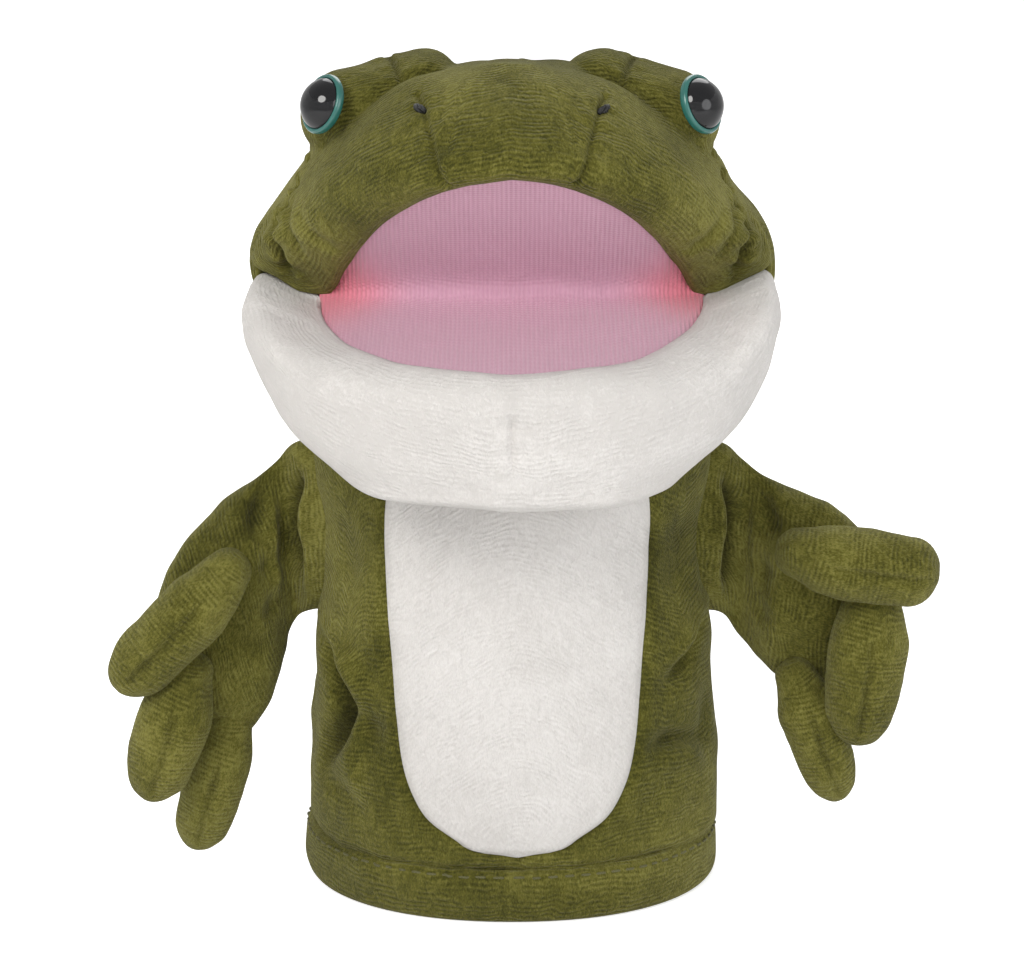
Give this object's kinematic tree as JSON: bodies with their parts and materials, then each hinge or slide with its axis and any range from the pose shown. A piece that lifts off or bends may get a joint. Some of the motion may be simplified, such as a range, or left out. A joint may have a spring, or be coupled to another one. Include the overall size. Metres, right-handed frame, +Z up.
{
  "type": "hand puppet",
  "caption": "Plush frog hand puppet: open fabric sleeve, padded head with an opening mouth, eyes on mounds, and flat arms with stuffed fingers.",
  "frame": {"origin": "centre of the hand opening, level with the bottom edge of the hem", "axes": "+Z up, the puppet faces -Y, its own left hand is on +X"},
  "size_m": [0.2339, 0.1313, 0.2415],
  "materials": {
    "olive_plush": "short napped plush",
    "white_plush": "short napped plush",
    "pink_knit": "fine ribbed knit",
    "stuffing": "loose polyester filling",
    "pocket_cloth": "thin plain cloth",
    "board": "thin flexible stiffener",
    "green_thread": "sewing thread",
    "black_thread": "embroidery thread",
    "eye_black": "polished",
    "eye_teal": "polished",
    "washer_plastic": "moulded"
  },
  "bodies": {
    "sleeve": {"sleeve_back": "olive_plush", "sleeve_front": "olive_plush", "belly_panel": "white_plush", "hem_band": "olive_plush", "hem_stitching": "green_thread"},
    "neck": {"neck_lining": "pocket_cloth"},
    "head": {"forehead_panel": "olive_plush", "snout_panel_left": "olive_plush", "head_back_left": "olive_plush", "eye_mound_left": "olive_plush", "mound_filling_left": "stuffing", "eye_dome_left": "eye_black", "eye_rim_left": "eye_teal", "eye_washer_left": "washer_plastic", "nostril_stitch_left": "black_thread", "snout_panel_right": "olive_plush", "head_back_right": "olive_plush", "eye_mound_right": "olive_plush", "mound_filling_right": "stuffing", "eye_dome_right": "eye_black", "eye_rim_right": "eye_teal", "eye_washer_right": "washer_plastic", "nostril_stitch_right": "black_thread", "palate_lining": "pink_knit", "palate_board": "board", "finger_pocket": "pocket_cloth", "head_filling": "stuffing"},
    "jaw": {"jaw_panel_left": "white_plush", "jaw_panel_right": "white_plush", "tongue_lining": "pink_knit", "tongue_board": "board", "thumb_pocket": "pocket_cloth", "jaw_filling": "stuffing"},
    "left_arm": {"arm_front_left": "olive_plush", "arm_back_left": "olive_plush"},
    "left_hand": {"hand_front_left": "olive_plush", "hand_back_left": "olive_plush", "hand_filling_left": "stuffing"},
    "left_finger_1": {"finger_1_left": "olive_plush", "finger_filling_1_left": "stuffing"},
    "left_finger_2": {"finger_2_left": "olive_plush", "finger_filling_2_left": "stuffing"},
    "left_finger_3": {"finger_3_left": "olive_plush", "finger_filling_3_left": "stuffing"},
    "right_arm": {"arm_front_right": "olive_plush", "arm_back_right": "olive_plush"},
    "right_hand": {"hand_front_right": "olive_plush", "hand_back_right": "olive_plush", "hand_filling_right": "stuffing"},
    "right_finger_1": {"finger_1_right": "olive_plush", "finger_filling_1_right": "stuffing"},
    "right_finger_2": {"finger_2_right": "olive_plush", "finger_filling_2_right": "stuffing"},
    "right_finger_3": {"finger_3_right": "olive_plush", "finger_filling_3_right": "stuffing"}
  },
  "joints": [
    {"name": "neck_turn", "type": "hinge", "parent": "sleeve", "child": "neck", "pos_m": [0, 0, 0.14], "axis": [0, 0, 1], "range_deg": [-18, 18], "stiffness_Nm_per_rad": 0.08},
    {"name": "head_nod", "type": "hinge", "parent": "neck", "child": "head", "pos_m": [0, 0, 0.14], "axis": [1, 0, 0], "range_deg": [-5, 8], "stiffness_Nm_per_rad": 0.4},
    {"name": "jaw_close", "type": "hinge", "parent": "head", "child": "jaw", "pos_m": [0, -0.012, 0.173], "axis": [-1, 0, 0], "range_deg": [-5, 45], "stiffness_Nm_per_rad": 0.2},
    {"name": "left_arm_swing", "type": "hinge", "parent": "sleeve", "child": "left_arm", "pos_m": [0.058, 0, 0.103], "axis": [0, 0, -1], "range_deg": [-30, 60], "stiffness_Nm_per_rad": 0.02},
    {"name": "left_hand_lift", "type": "hinge", "parent": "left_arm", "child": "left_hand", "pos_m": [0.068, 0, 0.0925], "axis": [0, -1, 0], "range_deg": [-12, 18], "stiffness_Nm_per_rad": 0.05},
    {"name": "left_finger_1_curl", "type": "hinge", "parent": "left_hand", "child": "left_finger_1", "pos_m": [0.087, -0.0165, 0.099], "axis": [-0.124, 0, -0.9923], "range_deg": [0, 35], "stiffness_Nm_per_rad": 0.02},
    {"name": "left_finger_2_curl", "type": "hinge", "parent": "left_hand", "child": "left_finger_2", "pos_m": [0.102, -0.0135, 0.078], "axis": [-0.9959, 0, 0.0905], "range_deg": [0, 30], "stiffness_Nm_per_rad": 0.02},
    {"name": "left_finger_3_curl", "type": "hinge", "parent": "left_hand", "child": "left_finger_3", "pos_m": [0.0845, -0.0095, 0.054], "axis": [-0.9503, 0, -0.3113], "range_deg": [-15, 7], "stiffness_Nm_per_rad": 0.02},
    {"name": "right_arm_swing", "type": "hinge", "parent": "sleeve", "child": "right_arm", "pos_m": [-0.058, 0, 0.103], "axis": [0, 0, 1], "range_deg": [-30, 60], "stiffness_Nm_per_rad": 0.02},
    {"name": "right_hand_lift", "type": "hinge", "parent": "right_arm", "child": "right_hand", "pos_m": [-0.0665, 0, 0.0925], "axis": [0, 1, 0], "range_deg": [-12, 18], "stiffness_Nm_per_rad": 0.05},
    {"name": "right_finger_1_curl", "type": "hinge", "parent": "right_hand", "child": "right_finger_1", "pos_m": [-0.0845, -0.017, 0.09], "axis": [-0.7071, 0, 0.7071], "range_deg": [0, 35], "stiffness_Nm_per_rad": 0.02},
    {"name": "right_finger_2_curl", "type": "hinge", "parent": "right_hand", "child": "right_finger_2", "pos_m": [-0.0945, -0.014, 0.057], "axis": [-0.9454, 0, 0.326], "range_deg": [0, 30], "stiffness_Nm_per_rad": 0.02},
    {"name": "right_finger_3_curl", "type": "hinge", "parent": "right_hand", "child": "right_finger_3", "pos_m": [-0.084, -0.004, 0.0375], "axis": [-0.9628, 0, 0.2703], "range_deg": [-15, 22], "stiffness_Nm_per_rad": 0.02}
  ]
}
